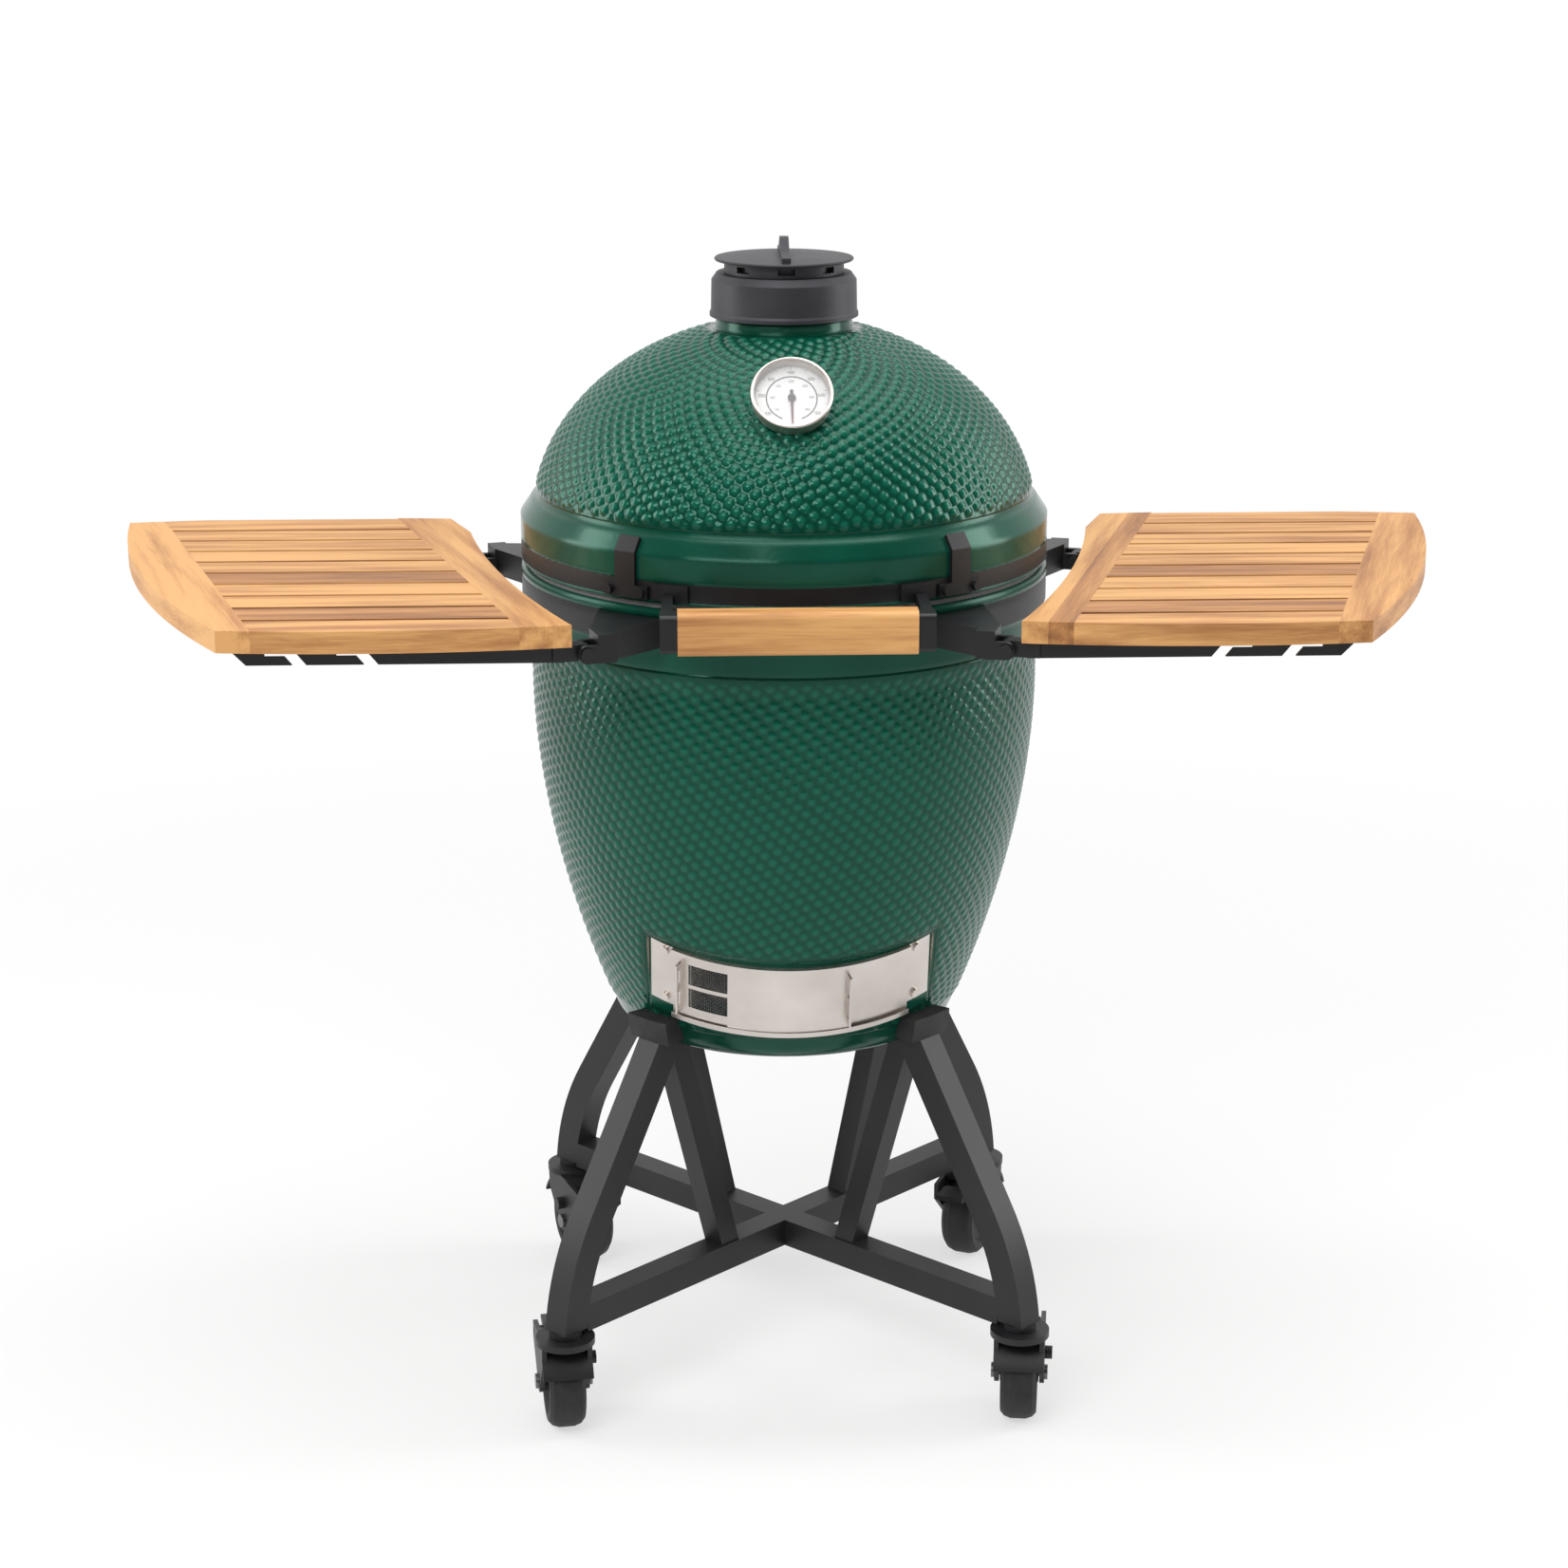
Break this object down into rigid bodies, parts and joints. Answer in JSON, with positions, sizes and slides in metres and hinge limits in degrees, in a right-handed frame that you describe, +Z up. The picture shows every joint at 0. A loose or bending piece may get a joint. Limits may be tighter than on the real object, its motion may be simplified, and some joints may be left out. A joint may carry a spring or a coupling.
{
  "type": "kamado ceramic grill",
  "caption": "Egg-shaped ceramic charcoal grill with hinged dome, fold-down wooden side shelves and a wheeled steel stand.",
  "frame": {"origin": "on the floor under the vertical axis of the egg, midway between the four castor swivels", "axes": "+Z up, front (handle and air door) towards -Y, shelves along X"},
  "size_m": [1.428, 0.663, 1.226],
  "materials": {
    "glaze": "gloss",
    "liner": "matte",
    "cast": "matte",
    "stainless": "satin",
    "black_steel": "satin",
    "felt": "matte",
    "acacia": "oiled",
    "cap_metal": "satin",
    "dial_face": "matte",
    "needle_paint": "satin",
    "lens_glass": "clear",
    "spring_steel": "satin",
    "black_rubber": "matte",
    "black_plastic": "matte"
  },
  "bodies": {
    "grill": {"base_shell": "glaze", "base_gasket": "felt", "fire_box": "liner", "fire_ring": "liner", "fire_grate": "cast", "cooking_grid": "stainless", "lower_band": "black_steel", "hinge_lower": "black_steel", "hinge_pin": "black_steel", "hinge_springs": "spring_steel", "vent_frame": "stainless", "vent_bolts": "stainless", "shelf_brackets": "black_steel", "shelf_pins": "black_steel", "nest_legs": "black_steel", "nest_frame": "black_steel", "cradle_pads": "black_rubber", "caster_stems": "black_steel"},
    "lid": {"dome_shell": "glaze", "dome_gasket": "felt", "upper_band": "black_steel", "band_clips": "black_steel", "band_bolts": "black_steel", "hinge_upper": "black_steel", "handle_grip": "acacia", "handle_brackets": "black_steel", "thermometer_case": "stainless", "thermometer_dial": "dial_face", "thermometer_lens": "lens_glass", "cap_body": "cap_metal"},
    "needle": {"thermometer_needle": "needle_paint"},
    "cap_swing": {"cap_neck": "cap_metal"},
    "cap_hood": {"cap_disc": "cap_metal"},
    "air_door": {"vent_door": "stainless"},
    "air_screen": {"vent_screen": "stainless", "vent_mesh": "spring_steel"},
    "shelf_left": {"shelf_left_inner_board": "acacia", "shelf_left_outer_board": "acacia", "shelf_left_slats": "acacia", "shelf_left_rails": "black_steel"},
    "shelf_right": {"shelf_right_inner_board": "acacia", "shelf_right_outer_board": "acacia", "shelf_right_slats": "acacia", "shelf_right_rails": "black_steel"},
    "caster_fl": {"caster_fl_fork": "black_plastic", "caster_fl_axle": "spring_steel"},
    "wheel_fl": {"caster_fl_wheel": "black_rubber"},
    "pedal_fl": {"caster_fl_pedal": "black_plastic"},
    "caster_fr": {"caster_fr_fork": "black_plastic", "caster_fr_axle": "spring_steel"},
    "wheel_fr": {"caster_fr_wheel": "black_rubber"},
    "pedal_fr": {"caster_fr_pedal": "black_plastic"},
    "caster_bl": {"caster_bl_fork": "black_plastic", "caster_bl_axle": "spring_steel"},
    "wheel_bl": {"caster_bl_wheel": "black_rubber"},
    "pedal_bl": {"caster_bl_pedal": "black_plastic"},
    "caster_br": {"caster_br_fork": "black_plastic", "caster_br_axle": "spring_steel"},
    "wheel_br": {"caster_br_wheel": "black_rubber"},
    "pedal_br": {"caster_br_pedal": "black_plastic"}
  },
  "joints": [
    {"name": "lid_hinge", "type": "hinge", "parent": "grill", "child": "lid", "pos_m": [0, 0.305, 0.891], "axis": [-1, 0, 0], "range_deg": [0, 68]},
    {"name": "needle_turn", "type": "hinge", "parent": "lid", "child": "needle", "pos_m": [0, -0.18884, 1.08891], "axis": [0, 0.7547, -0.6561], "range_deg": [0, 300]},
    {"name": "cap_swing_pivot", "type": "hinge", "parent": "lid", "child": "cap_swing", "pos_m": [0, 0.062, 1.19], "axis": [0, 0, 1], "range_deg": [0, 100]},
    {"name": "cap_hood_turn", "type": "hinge", "parent": "cap_swing", "child": "cap_hood", "pos_m": [0, 0, 1.2], "axis": [0, 0, 1], "range_deg": [0, 22.5]},
    {"name": "air_door_slide", "type": "hinge", "parent": "grill", "child": "air_door", "pos_m": [0, -0.00165, 0.53886], "axis": [0, -0.3404, 0.9403], "range_deg": [-4, 16]},
    {"name": "air_screen_slide", "type": "hinge", "parent": "grill", "child": "air_screen", "pos_m": [0, -0.00165, 0.53886], "axis": [0, -0.3404, 0.9403], "range_deg": [0, 8]},
    {"name": "shelf_right_fold", "type": "hinge", "parent": "grill", "child": "shelf_right", "pos_m": [0.207, -0.3, 0.862], "axis": [0.2741, 0.9617, 0], "range_deg": [0, 90]},
    {"name": "shelf_left_fold", "type": "hinge", "parent": "grill", "child": "shelf_left", "pos_m": [-0.207, -0.3, 0.862], "axis": [0.2741, -0.9617, 0], "range_deg": [0, 90]},
    {"name": "caster_fl_swivel", "type": "hinge", "parent": "grill", "child": "caster_fl", "pos_m": [-0.2388, -0.2388, 0.105], "axis": [0, 0, 1], "continuous": true},
    {"name": "wheel_fl_roll", "type": "hinge", "parent": "caster_fl", "child": "wheel_fl", "pos_m": [-0.24214, -0.21503, 0.05], "axis": [0.9903, 0.1392, 0], "continuous": true},
    {"name": "pedal_fl_press", "type": "hinge", "parent": "caster_fl", "child": "pedal_fl", "pos_m": [-0.24799, -0.17344, 0.089], "axis": [-0.9903, -0.1392, 0], "range_deg": [0, 12]},
    {"name": "caster_fr_swivel", "type": "hinge", "parent": "grill", "child": "caster_fr", "pos_m": [0.2388, -0.2388, 0.105], "axis": [0, 0, 1], "continuous": true},
    {"name": "wheel_fr_roll", "type": "hinge", "parent": "caster_fr", "child": "wheel_fr", "pos_m": [0.24214, -0.21503, 0.05], "axis": [0.9903, -0.1392, 0], "continuous": true},
    {"name": "pedal_fr_press", "type": "hinge", "parent": "caster_fr", "child": "pedal_fr", "pos_m": [0.24799, -0.17344, 0.089], "axis": [-0.9903, 0.1392, 0], "range_deg": [0, 12]},
    {"name": "caster_bl_swivel", "type": "hinge", "parent": "grill", "child": "caster_bl", "pos_m": [-0.2388, 0.2388, 0.105], "axis": [0, 0, 1], "continuous": true},
    {"name": "wheel_bl_roll", "type": "hinge", "parent": "caster_bl", "child": "wheel_bl", "pos_m": [-0.22866, 0.21705, 0.05], "axis": [-0.9063, -0.4226, 0], "continuous": true},
    {"name": "pedal_bl_press", "type": "hinge", "parent": "caster_bl", "child": "pedal_bl", "pos_m": [-0.21091, 0.17898, 0.089], "axis": [0.9063, 0.4226, 0], "range_deg": [0, 12]},
    {"name": "caster_br_swivel", "type": "hinge", "parent": "grill", "child": "caster_br", "pos_m": [0.2388, 0.2388, 0.105], "axis": [0, 0, 1], "continuous": true},
    {"name": "wheel_br_roll", "type": "hinge", "parent": "caster_br", "child": "wheel_br", "pos_m": [0.22866, 0.21705, 0.05], "axis": [-0.9063, 0.4226, 0], "continuous": true},
    {"name": "pedal_br_press", "type": "hinge", "parent": "caster_br", "child": "pedal_br", "pos_m": [0.21091, 0.17898, 0.089], "axis": [0.9063, -0.4226, 0], "range_deg": [0, 12]}
  ]
}
